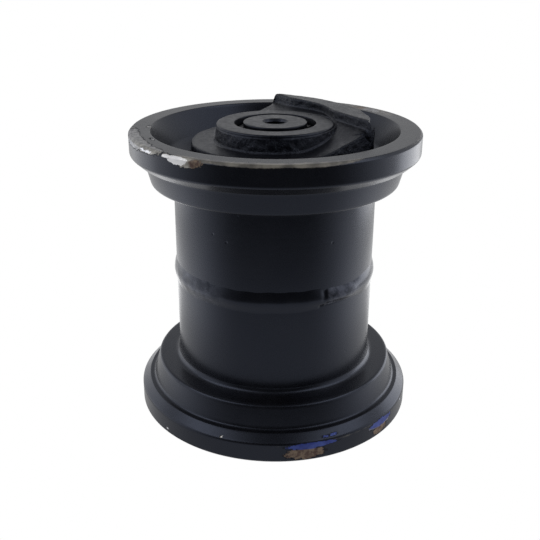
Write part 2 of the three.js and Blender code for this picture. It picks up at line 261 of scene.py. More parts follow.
def worn_through():
    """Where paint is rubbed or knocked off. Bare says how likely scraped steel is, Fresh how likely bright
    steel is and Rubbed how much an edge is polished through, and noise breaks their outlines into ragged
    chips, each with a dull lifted edge of paint round it. Stain turns the steel rust brown, and Blued gives
    it the colours of an overheated edge."""
    group, given, result = group_of(
        "worn_through",
        {
            "Paint Colour": ("NodeSocketColor", (0.004, 0.004, 0.005, 1)),
            "Paint Roughness": ("NodeSocketFloat", 0.3),
            "Bare": ("NodeSocketFloat", 0.0),
            "Fresh": ("NodeSocketFloat", 0.0),
            "Rubbed": ("NodeSocketFloat", 0.0),
            "Stain": ("NodeSocketFloat", 0.0),
            "Blued": ("NodeSocketFloat", 0.0),
        },
        {
            "Colour": "NodeSocketColor",
            "Roughness": "NodeSocketFloat",
            "Metallic": "NodeSocketFloat",
            "Height": "NodeSocketFloat",
        },
    )
    place = place_on(group)
    ragged = minus(group, noise(group, place, 360.0, 5.0, 0.68), 0.5)
    mottle = noise(group, place, 420.0, 4.0, 0.65)
    smear = noise(group, place, 130.0, 4.0, 0.6)

    def torn(mask, push, soft, level=0.5):
        broken = plus(group, mask, times(group, ragged, push))
        inside = ramp(group, broken, level - soft, level + soft)
        return times(group, inside, ramp(group, mask, 0.02, 0.12))

    bare = torn(given.outputs["Bare"], 2.4, 0.04)
    lifted = torn(given.outputs["Bare"], 2.4, 0.06, 0.30)
    fresh = torn(given.outputs["Fresh"], 1.8, 0.02)
    rubbed = times(group, torn(given.outputs["Rubbed"], 0.9, 0.3), 0.9)
    stain = torn(given.outputs["Stain"], 0.8, 0.30)
    blued = torn(given.outputs["Blued"], 0.8, 0.12)
    scraped = blend_colour(
        group, ramp(group, mottle, 0.3, 0.7), (0.28, 0.265, 0.235, 1), (0.62, 0.60, 0.55, 1))
    polished = blend_colour(
        group, ramp(group, smear, 0.35, 0.65), (0.20, 0.185, 0.16, 1), (0.44, 0.41, 0.35, 1))
    bright = blend_colour(
        group, ramp(group, smear, 0.3, 0.7), (0.82, 0.82, 0.84, 1), (0.97, 0.97, 0.98, 1))
    rust = blend_colour(
        group, ramp(group, mottle, 0.35, 0.65), (0.10, 0.048, 0.022, 1), (0.30, 0.215, 0.135, 1))
    temper = blend_colour(
        group, ramp(group, smear, 0.3, 0.7), (0.018, 0.032, 0.25, 1), (0.075, 0.12, 0.46, 1))
    metal = blend_colour(group, fresh, scraped, bright)
    metal = blend_colour(group, stain, metal, rust)
    metal = blend_colour(group, blued, metal, temper)
    colour = blend_colour(group, rubbed, given.outputs["Paint Colour"], polished)
    gone = larger(group, bare, fresh)
    colour = blend_colour(group, gone, colour, metal)
    clean = minus(group, 1.0, larger(group, stain, blued))
    shine = plus(group, 0.45, times(group, fresh, 0.5))
    metallic = times(group, gone, times(group, clean, shine))
    metallic = larger(group, metallic, times(group, rubbed, 0.3))
    rough = blend_value(group, lifted, given.outputs["Paint Roughness"], 0.85)
    rough = blend_value(group, larger(group, gone, rubbed), rough, 0.44)
    height = minus(group, times(group, mottle, times(group, gone, 0.5)), gone)
    group.links.new(colour, result.inputs["Colour"])
    group.links.new(rough, result.inputs["Roughness"])
    group.links.new(metallic, result.inputs["Metallic"])
    group.links.new(height, result.inputs["Height"])
    return group


PAINT = sprayed_paint()
WEAR = worn_through()


def blank_material(name, **constants):
    """New material, its node tree and its shader, with constants set on the shader's own sockets."""
    material = bpy.data.materials.new(name)
    material.use_nodes = True
    shader = material.node_tree.nodes["Principled BSDF"]
    for key, value in constants.items():
        shader.inputs[key.replace("_", " ")].default_value = value
    return material, material.node_tree, shader


def painted_material(name):
    """Black paint whose gloss is a little blue, from the pigment in its clear binder."""
    return blank_material(name, Specular_IOR_Level=0.64, Specular_Tint=(0.64, 0.73, 1.0, 1))


def mask_from(tree, key):
    """Mask that was worked out with the mesh and is stored on its points."""
    return add(tree, "ShaderNodeAttribute", attribute_name=key).outputs["Fac"]


BUMP_DEPTH = 0.0001


def join_up(tree, shader, colour, roughness, height, strength, metallic=None):
    """Feed a shader with a finish that changes over the surface. Its height is in bump depths."""
    bump = add(tree, "ShaderNodeBump", {"Height": height, "Strength": strength, "Distance": BUMP_DEPTH})
    tree.links.new(colour, shader.inputs["Base Color"])
    tree.links.new(roughness, shader.inputs["Roughness"])
    if metallic is not None:
        tree.links.new(metallic, shader.inputs["Metallic"])
    tree.links.new(bump.outputs["Normal"], shader.inputs["Normal"])


def pitted(tree, place, scale, chance):
    """Small round pits: the middle of a few of the cells of a cell pattern, picked by their random colour."""
    cells = add(tree, "ShaderNodeTexVoronoi", {"Vector": place, "Scale": scale, "Randomness": 1.0})
    picked = add(tree, "ShaderNodeSeparateColor", {"Color": cells.outputs["Color"]}).outputs[0]
    chosen = combine(tree, "LESS_THAN", picked, chance)
    near = ramp(tree, cells.outputs["Distance"], 0.08, 0.24, 1.0, 0.0)
    return times(tree, near, chosen)


def shell_paint():
    material, tree, shader = painted_material("sprayed_shell")
    place = place_on(tree)
    paint = add(tree, "ShaderNodeGroup", node_tree=PAINT)
    wear = add(tree, "ShaderNodeGroup", {
        "Paint Colour": paint.outputs["Colour"], "Paint Roughness": paint.outputs["Roughness"],
        "Bare": mask_from(tree, "bare"), "Fresh": mask_from(tree, "fresh"),
        "Rubbed": mask_from(tree, "rubbed"), "Stain": mask_from(tree, "stain"),
        "Blued": mask_from(tree, "blued"),
    }, node_tree=WEAR)
    pits = times(tree, pitted(tree, place, 230.0, 0.022), mask_from(tree, "pits"))
    # Pits are painted darker than the paint round them: painted shade in the pits.
    colour = blend_colour(tree, pits, wear.outputs["Colour"], (0.002, 0.002, 0.003, 1))
    turning = add(tree, "ShaderNodeTexNoise", {
        "Vector": add(tree, "ShaderNodeMapping", {"Vector": place, "Scale": (0.5, 0.5, 9.0)}).outputs[0],
        "Scale": 50.0, "Detail": 2.0}).outputs["Fac"]
    height = plus(tree, paint.outputs["Height"], times(tree, turning, 0.3))
    height = plus(tree, height, times(tree, wear.outputs["Height"], 6.0))
    height = minus(tree, height, times(tree, pits, 4.0))
    join_up(tree, shader, colour, wear.outputs["Roughness"], height, 0.35, wear.outputs["Metallic"])
    return material


# Worn places on a rim: (angle, distance over the rim's outer corner, half length, half width, strength).
# Angles are in degrees round the axle, lengths in millimetres; the distance is negative on the end face.
SCUFFS = {
    "upper": {
        "bare": [
            (168, -2.2, 22, 3.4, 1.25), (-177, -0.8, 15, 3.4, 1.1), (158, -3.4, 9, 2.4, 0.95),
            (172, 1.2, 15, 2.4, 1.15), (-163, 0.4, 4, 1.2, 0.9), (-154, 1.7, 8, 2.8, 1.2),
            (149, -10.6, 3.0, 1.3, 0.9), (173, -9.6, 3.5, 1.1, 0.8), (8, -6.2, 13, 3.4, 0.9),
            (16, -3.4, 7, 2.0, 0.7), (62, -1.0, 10, 1.6, 0.7), (104, 0.2, 7, 2.0, 0.8),
        ],
        "fresh": [(-158.2, 1.5, 5.8, 2.5, 1.25), (-163.6, 0.7, 2.8, 1.1, 1.1), (-176, 1.7, 7, 1.2, 0.55)],
        "rubbed": [
            (-150, -1.4, 14, 2.4, 1.15), (-131, -1.4, 26, 2.6, 1.2), (-108, -1.4, 22, 2.6, 1.25),
            (166, -2.4, 30, 3.0, 0.55), (-97, -0.8, 6, 1.5, 0.7), (-40, -0.8, 36, 0.9, 0.6),
            (8, -5, 26, 5.5, 0.75), (90, -1.2, 60, 1.8, 0.7),
        ],
        "stain": [
            (-147.6, 2.4, 6.6, 4.2, 1.25), (-139, 0.9, 13, 1.2, 1.0), (-101, 1.3, 4.5, 1.5, 0.9),
            (14, -6, 6, 4, 0.7),
        ],
        "blued": [],
    },
    "lower": {
        "bare": [
            (-107, 9.8, 13.5, 1.5, 1.3), (-109.5, 5.2, 10.5, 3.3, 1.15), (-72.5, 8.4, 9, 2.4, 1.2),
            (-73, 4.6, 6, 2.4, 1.05), (-98.5, 12.8, 5.0, 0.6, 0.75), (-142.6, 12.4, 0.9, 0.45, 0.9),
            (-170, 3.6, 1.6, 0.8, 0.9), (-54, 9.6, 1.2, 0.9, 0.9), (70, 2.0, 9, 1.8, 0.8),
            (150, -1.0, 12, 1.4, 0.8),
        ],
        "fresh": [(-54, 9.6, 1.0, 0.8, 0.9), (-170, 3.6, 1.3, 0.7, 0.8), (-142.6, 12.4, 0.7, 0.4, 0.9)],
        "rubbed": [(-98, 10.6, 34, 0.7, 0.36), (60, 9, 50, 1.2, 0.6)],
        "stain": [(-109.5, 4.9, 12, 4.0, 1.4), (-73, 4.2, 9, 2.6, 1.2)],
        "blued": [(-107, 10.2, 16, 2.2, 1.5), (-72.5, 9.0, 11, 2.8, 0.85), (-97.5, 12.6, 9, 2.0, 1.2)],
    },
}
FLANGE_RADIUS, RIM_HEIGHT, DISH_RADIUS, BARREL_RADIUS = 80, 82, 68.3, 56.6


def scuff_mask(marks, angle, over):
    """Highest of a set of soft ellipses, strength * (1.15 - 0.65 d^2), with d the distance from each centre
    in half lengths round the rim and half widths across its corner."""
    mask = np.zeros(np.broadcast(angle, over).shape)
    for at, across, half_length, half_width, strength in marks:
        turn = (angle - math.radians(at) + np.pi) % (2 * np.pi) - np.pi
        away = np.hypot(turn * FLANGE_RADIUS / half_length, (over - across) / half_width)
        mask = np.maximum(mask, strength * np.clip(1.15 - 0.65 * away ** 2, 0, 1))
    return mask


# Corners of a half: (radius, height, round, length of the pieces up to the next corner), in millimetres.
SHELL_CORNERS = [
    # Half of the oil chamber, the bush's bore and the seal's seat.
    (42, 0.15, 0.1, 7), (42, 14, 2, 6), (25.3, 20, 0.6, 9), (25.3, 46.7, 0.1, 6), (31.3, 46.7, 0.2, 4),
    (31.3, 54.2, 0.2, 4), (35.6, 54.2, 0.4, 3), (35.6, 61, 0.6, 3),
    # Dish, end face of the rim and flange.
    (55.5, 62.0, 4, 1.5), (60.4, 66.6, 12, 1.5), (DISH_RADIUS, RIM_HEIGHT, 0.7, 1.2),
    (78.7, RIM_HEIGHT, 0.7, 0.5), (FLANGE_RADIUS, 80.7, 0.7, 0.6), (FLANGE_RADIUS, 70.6, 2.2, 0.8),
    (75.2, 66.3, 1.0, 0.8),
    # Tread, barrel and half of the groove for the weld.
    (72.4, 66.3, 1.9, 1), (68.9, 53.2, 2.0, 1.1), (BARREL_RADIUS, 53.2, 3.6, 1.3),
    (BARREL_RADIUS, 2.2, 0.1, 2), (50, 0.6, 0.1, 3), (50, 0.15, 0.1, 3),
]
SHELL_MATERIAL = shell_paint()

shell_path = rounded_path(SHELL_CORNERS)
shell_angles = full_turn(440)
shell_radius, shell_height = shell_path[:, :1], shell_path[:, 1:]
# The barrel, tread and dish keep a trace of the forging's unevenness.
left_forged = np.clip((shell_height - 2) / 8, 0, 1) * np.clip((70 - shell_radius) / 6, 0, 1)
left_forged = left_forged * (shell_radius > 50)
# Distance over the rim's outer corner, which is far away for everything but the rim and the flange.
on_rim = (shell_radius > 68) & (shell_height > 60)
over_corner = (RIM_HEIGHT - shell_height) - (FLANGE_RADIUS - shell_radius) * (shell_height > 79)
over_corner = np.where(on_rim, over_corner, 99)
on_barrel = (shell_radius > 56) & (shell_radius < 58)
for end, up in ENDS.items():
    grid = turned(shell_path, shell_angles)
    swell = waves(grid * (1, 1, up), (30, 90), 11 + up) * 0.06 * left_forged
    grid[..., :2] *= 1 + (swell / shell_radius)[..., None]
    grid[..., 2] *= up
    masks = {key: scuff_mask(marks, shell_angles[None, :], over_corner) for key, marks in SCUFFS[end].items()}
    masks["pits"] = np.broadcast_to(on_barrel, grid.shape[:2])
    surface(f"roller_shell_{end}", grid, SHELL_MATERIAL, "roller", [f"shell_half_{end}"],
            values=masks)

# Centre weld.
# One machine-laid bead fills the V groove between the halves and stands a little proud of the barrel.
# It was stopped and restarted on one side, which left a thicker lap with a small crater.


# Radius of the bead's edges, and places along it in degrees, from -360 to 0.
BEAD_ROOT = 56.52
BEAD_START, LAP_START, LAP_END = -161, -95.5, -62
NOTCH_AT, CRATER_AT, LUMP_AT = -94.2, -95.6, -80


def hump(distance):
    """One at distance 0, falling away on both sides as exp(-distance^2)."""
    return np.exp(-distance ** 2)


def weld_points(angles, across):
    """Bead surface over angle and a parameter from -1 to 1 across it. The crown falls away above as
    1 - across^1.6, so that edge is crisp, and below as a raised cosine, so that edge runs out softly. Both
    edges waver as sums of sines. The lap is a second, narrower length on top that starts at a notch and
    sinks away."""
    degrees = np.degrees(angles) % 360 - 360
    middle = 1.3 + 0.2 * np.sin(3 * angles + 1) + 0.12 * np.sin(11 * angles) + 0.06 * np.sin(29 * angles + 2)
    lap = np.clip((degrees - LAP_START) / 2.5, 0, 1) * np.clip((LAP_END - degrees) / 11, 0, 1)
    step = np.clip((degrees - BEAD_START) / 2, 0, 1)
    above = 7.1 + 0.12 * np.sin(7 * angles + 2) + 0.10 * np.sin(31 * angles) - 0.8 * step - 0.9 * lap
    below = 7.0 + 0.3 * np.sin(5 * angles) + 0.15 * np.sin(19 * angles + 1) - 2.6 * lap
    shape = np.where(across > 0, 1 - np.abs(across) ** 1.6, 0.5 + 0.5 * np.cos(np.pi * across))
    crown = 1.4 + 0.05 * np.sin(5 * angles + 1) + 0.04 * np.sin(17 * angles)
    height = middle + np.where(across > 0, above, below) * across
    lump = 0.8 * lap * hump((degrees - LUMP_AT) / 12) * (1 - across ** 4) ** 1.5
    notch = 0.7 * hump((degrees - NOTCH_AT) / 1.5) * np.clip(across + 0.45, 0, 1) * (1 - across ** 4)
    crater = 0.8 * hump(np.hypot((degrees - CRATER_AT) * 0.98, height + 3.1) / 1.1)
    swell = 0.10 * np.sin(43 * angles + 3 * across) * hump(across) * np.clip((degrees + 140) / -30, 0, 1)
    return BEAD_ROOT + shape * crown + lump - notch - crater + swell * 0.4, height


def weld_paint():
    material, tree, shader = painted_material("sprayed_weld")
    place = place_on(tree)
    paint = add(tree, "ShaderNodeGroup", {
        "Colour": (0.0035, 0.0035, 0.0048, 1), "Roughness": 0.24, "Unevenness": 0.06, "Peel": 0.15,
    }, node_tree=PAINT)
    # Bluish grey painted over the black paint and broken up by noise: a painted sheen on the lap and at the
    # bead's start.
    smear = ramp(tree, noise(tree, place, 240.0, 4.0, 0.65), 0.36, 0.66)
    sheen_mask = times(tree, smear, mask_from(tree, "painted_sheen"))
    colour = blend_colour(tree, sheen_mask, paint.outputs["Colour"], (0.085, 0.09, 0.115, 1))
    pits = pitted(tree, place, 230.0, 0.03)
    # Pits are painted darker than the paint round them: painted shade in the pits.
    colour = blend_colour(tree, pits, colour, (0.002, 0.002, 0.003, 1))
    height = minus(tree, paint.outputs["Height"], times(tree, pits, 4.0))
    join_up(tree, shader, colour, paint.outputs["Roughness"], height, 0.3)
    return material


weld_angles = full_turn(720)
weld_across = np.linspace(-1, 1, 33)[:, None]
weld_radius, weld_height = weld_points(weld_angles[None, :], weld_across)
root_radius = np.array([55.0, 50.6, 50.6, 55.0])[:, None] + 0 * weld_angles
root_height = np.array([1.6, 0.3, -0.3, -1.6])[:, None] + 0 * weld_angles
weld_radius = np.concatenate([weld_radius, root_radius])
weld_height = np.concatenate([weld_height, root_height])
weld_grid = MM * np.stack([
    weld_radius * np.cos(weld_angles), weld_radius * np.sin(weld_angles), weld_height], -1)
# A bluish grey painted sheen lightens the lap and the stretch where the bead began.
weld_degrees = np.degrees(weld_angles) % 360 - 360
on_lap = np.clip((weld_degrees + 92.6) / 1.0, 0, 1) * np.clip((-66 - weld_degrees) / 8, 0, 1)
at_start = 0.55 * np.clip((weld_degrees + 196) / 14, 0, 1) * np.clip((-149 - weld_degrees) / 9, 0, 1)
painted_sheen = (on_lap + at_start) * np.ones((len(weld_grid), 1))
surface("girth_weld", weld_grid, weld_paint(), "roller", ["centre_weld"],
        values={"painted_sheen": painted_sheen})

# Flanged bushes.
# Steel strip rolled into a tube with a collar, lined inside and on the flange with sintered bronze.
# One is pressed into each half of the shell, and the axle runs in them.


def bearing_bronze():
    material, tree, shader = blank_material("bearing_bronze", Metallic=1.0)
    place = place_on(tree)
    stretched = add(tree, "ShaderNodeMapping", {"Vector": place, "Scale": (1.0, 1.0, 12.0)}).outputs[0]
    lines = noise(tree, stretched, 220.0, 4.0, 0.6)
    spots = noise(tree, place, 160.0, 3.0, 0.6)
    colour = blend_colour(tree, ramp(tree, spots, 0.3, 0.7), (0.46, 0.27, 0.11, 1), (0.62, 0.42, 0.20, 1))
    rough = ramp(tree, lines, 0.2, 0.8, 0.24, 0.42)
    join_up(tree, shader, colour, rough, lines, 0.15)
    return material


BUSH_CORNERS = [
    (21.3, 22, 0.3, 3), (25, 22, 0.5, 3), (25, 47, 0.1, 1), (31, 47, 0.2, 1), (31, 51, 0.4, 1),
    (21.3, 51, 0.8, 2),
]
BRONZE = bearing_bronze()
for end, up in ENDS.items():
    grid = turned(rounded_path(BUSH_CORNERS), full_turn(160)) * (1, 1, up)
    surface(f"bearing_bush_{end}", grid, BRONZE, "roller", [f"flanged_bush_{end}"])

# Axle.
# One steel bar, turned and ground, that does not turn: a thick journal between two thinner ends. Each end
# has a tapped hole for the mounting screw, and the faces that show were sprayed with the rest.


def axle_paint():
    material, tree, shader = painted_material("sprayed_axle")
    place = place_on(tree)
    paint = add(tree, "ShaderNodeGroup", {
        "Colour": (0.0045, 0.0045, 0.006, 1), "Roughness": 0.34, "Unevenness": 0.3, "Peel": 4.0,
    }, node_tree=PAINT)
    covered = mask_from(tree, "painted")
    stretched = add(tree, "ShaderNodeMapping", {"Vector": place, "Scale": (1.0, 1.0, 20.0)}).outputs[0]
    lines = noise(tree, stretched, 160.0, 3.0, 0.6)
    steel = blend_colour(tree, lines, (0.36, 0.37, 0.38, 1), (0.56, 0.57, 0.58, 1))
    colour = blend_colour(tree, covered, steel, paint.outputs["Colour"])
    rough = blend_value(tree, covered, 0.25, paint.outputs["Roughness"])
    join_up(tree, shader, colour, rough, paint.outputs["Height"], 0.4, minus(tree, 1.0, covered))
    return material


def tapped(path, angles, core, pitch, depth, top, bottom):
    """Radius of a tapped hole's wall: the core radius plus a triangle wave along height plus turn, which
    makes one continuous groove, fading in at the mouth and out at the bottom."""
    height = np.abs(path[:, 1:])
    in_hole = (np.abs(path[:, :1] - core) < 0.02) * (height > bottom) * (height < top)
    phase = (height / pitch + angles[None, :] / (2 * np.pi)) % 1
    fade = np.clip((top - height) / 0.8, 0, 1) * np.clip((height - bottom) / 2.5, 0, 1)
    return in_hole * depth * np.clip(1.2 * (1 - np.abs(2 * phase - 1)) * 1.2 - 0.2, 0, 1) * fade


END_RADIUS, END_FACE, GROOVE_RADIUS = 17.5, 85, 16.2
CORE_RADIUS, MOUTH_RADIUS = 6.0, 7.3
# Journal, shoulder, groove for the retaining ring, end face and the mouth of the tapped hole.
AXLE_END = [
    (21, 50, 0.1, 10), (20, 51, 0.1, 2), (END_RADIUS, 51, 0.2, 4), (END_RADIUS, 79.15, 0.1, 1),
    (GROOVE_RADIUS, 79.15, 0.2, 1), (GROOVE_RADIUS, 81.4, 0.2, 1), (END_RADIUS, 81.4, 0.1, 0.6),
    (END_RADIUS, END_FACE, 0.6, 0.7), (MOUTH_RADIUS, END_FACE, 0.15, 0.4), (CORE_RADIUS, 83.6, 0.05, 0.25),
]
# From the bottom of the lower hole, over the outside, down the upper hole and into the oil way.
axle_corners = [(0, -53, 0, 1), (CORE_RADIUS, -55, 0.05, 0.25)]
axle_corners += [(radius, -height, rounding, step) for radius, height, rounding, step in AXLE_END[::-1]]
axle_corners += AXLE_END + [(CORE_RADIUS, 55, 0.05, 0.6), (4, 54.5, 0.2, 3), (4, -3, 0.2, 1), (0, -4, 0, 1)]
axle_path = rounded_path(axle_corners, closed=False)
axle_angles = full_turn(160)
thread = tapped(axle_path, axle_angles, core=CORE_RADIUS, pitch=2.0, depth=1.05, top=83.7, bottom=57.0)
axle_grid = turned(axle_path, axle_angles)
axle_grid[..., 0] += MM * thread * np.cos(axle_angles)
axle_grid[..., 1] += MM * thread * np.sin(axle_angles)
axle_painted = np.clip((np.abs(axle_path[:, 1:]) - 79) / 0.5, 0, 1) * np.ones((1, len(axle_angles)))
surface("axle", axle_grid, axle_paint(), "axle", ["shaft"], closed=False,
        values={"painted": axle_painted})

# Oil plug.
# Short steel screw with a hexagon socket, screwed into the oil way at the bottom of the upper tapped hole.


def dark_steel():
    material, tree, shader = blank_material("dark_steel", Metallic=0.85)
    place = place_on(tree)
    spots = noise(tree, place, 400.0, 4.0, 0.6)
    colour = blend_colour(tree, spots, (0.035, 0.035, 0.04, 1), (0.12, 0.12, 0.13, 1))
    join_up(tree, shader, colour, ramp(tree, spots, 0.2, 0.8, 0.32, 0.55), spots, 0.2)
    return material


DARK_STEEL = dark_steel()
PLUG_RADIUS, SOCKET_RADIUS = 3.7, 2.6
PLUG_CORNERS = [
    (0, 46, 0, 1), (PLUG_RADIUS, 46, 0.5, 0.25), (PLUG_RADIUS, 55, 0.5, 0.5), (SOCKET_RADIUS, 55, 0.2, 0.5),
    (SOCKET_RADIUS, 50, 0.1, 0.5), (0, 49.4, 0, 1),
]
plug_path = rounded_path(PLUG_CORNERS, closed=False)
plug_angles = full_turn(72)
plug_grid = turned(plug_path, plug_angles)
# Socket wall pushed out to a hexagon: radius over cos of the angle to the nearest flat.
flat_angle = (plug_angles + np.pi / 6) % (np.pi / 3) - np.pi / 6
in_socket = (np.arange(len(plug_path)) > np.argmax(plug_path[:, 1])) & (plug_path[:, 0] < SOCKET_RADIUS + 0.1)
stretch = np.where(in_socket[:, None], 0.9 / np.cos(flat_angle), 1.0)
plug_grid[..., :2] *= stretch[..., None]
surface("oil_way_plug", plug_grid, DARK_STEEL, "axle", ["oil_plug"], closed=False)

# Rubber rings.
# A small nitrile ring seals each collar on the axle. The thicker seal cushions grip the metal seal rings,
# one in the shell and one in the collar at each end, and press their faces together.


def nitrile():
    material, tree, shader = blank_material("nitrile", Specular_IOR_Level=0.4)
    place = place_on(tree)
    bloom = noise(tree, place, 120.0, 4.0, 0.6)
    pale = ramp(tree, bloom, 0.4, 0.8)
    colour = blend_colour(tree, pale, (0.010, 0.010, 0.011, 1), (0.030, 0.030, 0.031, 1))
    join_up(tree, shader, colour, ramp(tree, bloom, 0.2, 0.8, 0.5, 0.7), noise(tree, place, 900.0, 2.0), 0.15)
    return material


# Height at which the two seal rings of an end meet.
SEAL_FACE = 62


def rubber_ring(radius, height, section, squash, columns):
    """Ring of a round section flattened a little by its seat: a superellipse of power 2 + squash."""
    around = full_turn(28)
    power = 2 / (2 + squash)
    out = np.sign(np.cos(around)) * np.abs(np.cos(around)) ** power
    up = np.sign(np.sin(around)) * np.abs(np.sin(around)) ** power
    return turned(np.stack([radius + section * out, height + section * up], -1), full_turn(columns))


NITRILE = nitrile()
for end, up in ENDS.items():
    small = rubber_ring(18.95, 58.4, 1.08, 0.6, 120) * (1, 1, up)
    surface(f"axle_ring_{end}", small, NITRILE, "axle", [f"shaft_seal_{end}"])
    for kind, side, body in (("turning", -1, "roller"), ("fixed", 1, "axle")):
        thick = rubber_ring(32.7, SEAL_FACE + side * 4.9, 2.5, 0.3, 160) * (1, 1, up)
        surface(f"{kind}_cushion_{end}", thick, NITRILE, body, [f"{kind}_seal_cushion_{end}"])

# Metal seal rings.
# Two hard cast rings at each end run face to face on a lapped band and keep the oil in. One turns with the
# shell and one stays with the collar.


def lapped_iron():
    material, tree, shader = blank_material("lapped_iron", Metallic=1.0)
    place = place_on(tree)
    grain = noise(tree, place, 700.0, 4.0, 0.6)
    band = mask_from(tree, "lapped")
    cast = blend_colour(tree, grain, (0.16, 0.165, 0.17, 1), (0.30, 0.31, 0.32, 1))
    colour = blend_colour(tree, band, cast, (0.58, 0.59, 0.61, 1))
    rough = blend_value(tree, band, ramp(tree, grain, 0.2, 0.8, 0.4, 0.6), 0.1)
    join_up(tree, shader, colour, rough, grain, 0.2)
    return material


LAPPED_IRON = lapped_iron()
for end, up in ENDS.items():
    for kind, side, body in (("turning", -1, "roller"), ("fixed", 1, "axle")):
        # The running face, then the flange behind it and the tapered seat of the cushion.
        face_at, flange_at, foot_at = SEAL_FACE + side * 0.15, SEAL_FACE + side * 2, SEAL_FACE + side * 7.5
        path = rounded_path([
            (27.2, face_at, 0.3, 0.6), (34.2, face_at, 0.3, 1), (34.2, flange_at, 0.4, 1),
            (29.8, flange_at, 0.9, 1), (29.1, foot_at, 0.5, 1), (27.2, foot_at, 0.3, 2),
        ])
        grid = turned(path, full_turn(160)) * (1, 1, up)
        face = (np.abs(path[:, 1:] - SEAL_FACE) < 0.2) * (path[:, :1] > 29.5) * np.ones((1, 160))
        surface(f"{kind}_face_ring_{end}", grid, LAPPED_IRON, body, [f"{kind}_seal_ring_{end}"],
                values={"lapped": face})

# End collars.
# Rough steel forgings, one at each end: a hub on the axle, a round boss with a turned face, a plate, and a
# ramp that climbs to a raised stop lip. Only the boss, counterbore and bore are machined.


PLATE_RADIUS, PLATE_FLOOR, PLATE_EDGE, PLATE_TOP, RAMP_TOP = 46, 63, 71, 75, 84
BOSS_RADIUS, BOSS_FLOOR, BOSS_TOP = 32.3, 79, 84.5
# The lip: its straight inner face, its top, and the circle of its back.
LIP_FACE, LIP_TOP = 33, 89
BACK_X, BACK_Y, BACK_RADIUS = -34.3, 5, 83
# Where the plate's right tangent ends and where the lip ends on both sides, in degrees.
FLARE_RIGHT, LIP_RIGHT, LIP_LEFT = -51.8, -55.0, 59.0


def flare_radius(angles):
    """Outline of the plate in polar form: a circle and, towards the lip, its two tangents, each the circle's
    radius / cos(angle from the point where it leaves the circle)."""
    radius = np.full_like(angles, PLATE_RADIUS)
    left, right = math.radians(97.1), math.radians(-82.3)
    on_left = (angles > math.radians(56.8)) & (angles < left)
    on_right = (angles < math.radians(FLARE_RIGHT)) & (angles > right)
    radius = np.where(on_left, PLATE_RADIUS / np.cos(angles - left), radius)
    return np.where(on_right, PLATE_RADIUS / np.cos(angles - right), radius)


def lip_face(angles, hollow):
    """Distance to the lip's inner face, x = 33 plus a raised cosine of the given depth about y = 12. The
    place along the face depends on the distance, so it is found in four rounds."""
    slope = np.clip(np.cos(angles), 0.3, 1)
    radius = LIP_FACE / slope
    for _ in range(4):
        across = np.clip((radius * np.sin(angles) - 12) / 27, -1, 1)
        radius = (LIP_FACE + 0.5 * hollow * (1 + np.cos(np.pi * across))) / slope
    return radius


def lip_back(angles):
    """Distance to the lip's bulging back. It is t + sqrt(t^2 - centre^2 + radius^2), the far side of the
    back's circle, where t is how far its centre lies along the angle. The blunt end is a straight cut, and
    the other end is drawn in a little."""
    toward = BACK_X * np.cos(angles) + BACK_Y * np.sin(angles)
    radius = toward + np.sqrt(toward ** 2 - BACK_X ** 2 - BACK_Y ** 2 + BACK_RADIUS ** 2)
    blunt = (37 * 0.8 + 50.5 * 0.6) / np.clip(np.cos(angles) * 0.8 + np.sin(angles) * 0.6, 0.2, 1)
    tapered = radius - 2.6 * np.clip((-36 - np.degrees(angles)) / 16, 0, 1) ** 1.5
    return np.where(angles > 0, np.minimum(radius, blunt), tapered)


def step_up(angles, start, end, soft):
    """One between two angles in degrees and nothing outside, with soft sides."""
    degrees = np.degrees(angles)
    rise = np.clip((degrees - start) / soft + 0.5, 0, 1)
    fall = np.clip((end - degrees) / soft + 0.5, 0, 1)
    both = np.minimum(rise, fall)
    return both * both * (3 - 2 * both)


def ramp_height(radius, angles):
    """Top of the plate: level, then a ramp up to the lip that starts gently, as the hyperbola
    plate top + (run + sqrt(run^2 + 30)) / 7.6, with run the distance towards the lip."""
    run = radius * np.cos(angles) + 1
    return np.minimum(PLATE_TOP + (run + np.sqrt(run ** 2 + 30)) / 7.6, RAMP_TOP)


def forged_columns(angles):
    """Corners of the forged skin at each angle, from the boss foot out over the ramp and the lip and back
    in under the plate, as (corner, angle, 2). Corners that a stretch does not have fall together. The
    underside rises where the lip reaches out over the sloping wall of the shell."""
    lip = step_up(angles, LIP_RIGHT, LIP_LEFT, 0.9)
    ear = step_up(angles, -70.0, -52.5, 1.0) * lip
    plate = flare_radius(angles)
    low_face = np.minimum(lip_face(angles, 5.6), 64)
    high_face = np.minimum(lip_face(angles, 3.6), 64)
    back = np.maximum(lip_back(angles), high_face + 0.3)
    right_end = np.degrees(angles) < FLARE_RIGHT
    shelf = plate - 0.8 + (np.where(right_end, plate, low_face) - plate) * lip
    shelf_height = ramp_height(shelf, angles)
    low = shelf_height + (72.5 - shelf_height) * ear
    low_inner = shelf + (low_face - shelf) * lip
    high_inner = shelf + (high_face - shelf) * lip
    top = shelf_height + (LIP_TOP - shelf_height) * lip
    outer = plate + 0.6 + (back - plate) * lip
    bottom = np.maximum(PLATE_EDGE, RIM_HEIGHT - (DISH_RADIUS - 1.3 - outer) * 1.95)
    draft = 2.2 * np.clip((plate - PLATE_RADIUS) / 4, 0, 1) * (1 - lip)
    foot = np.full_like(angles, BOSS_RADIUS + 1.4)
    ones = np.ones_like(angles)
    corners = [
        (foot, ramp_height(foot, angles)), (shelf, shelf_height), (shelf + 0.4 * ear, low), (low_inner, low),
        (high_inner, top), (outer - 0.6, top), (outer + draft, bottom),
        (PLATE_RADIUS * ones, PLATE_EDGE * ones), (PLATE_RADIUS * ones, PLATE_FLOOR * ones),
        (36.2 * ones, PLATE_FLOOR * ones),
    ]
    return np.stack([np.stack(pair, -1) for pair in corners])


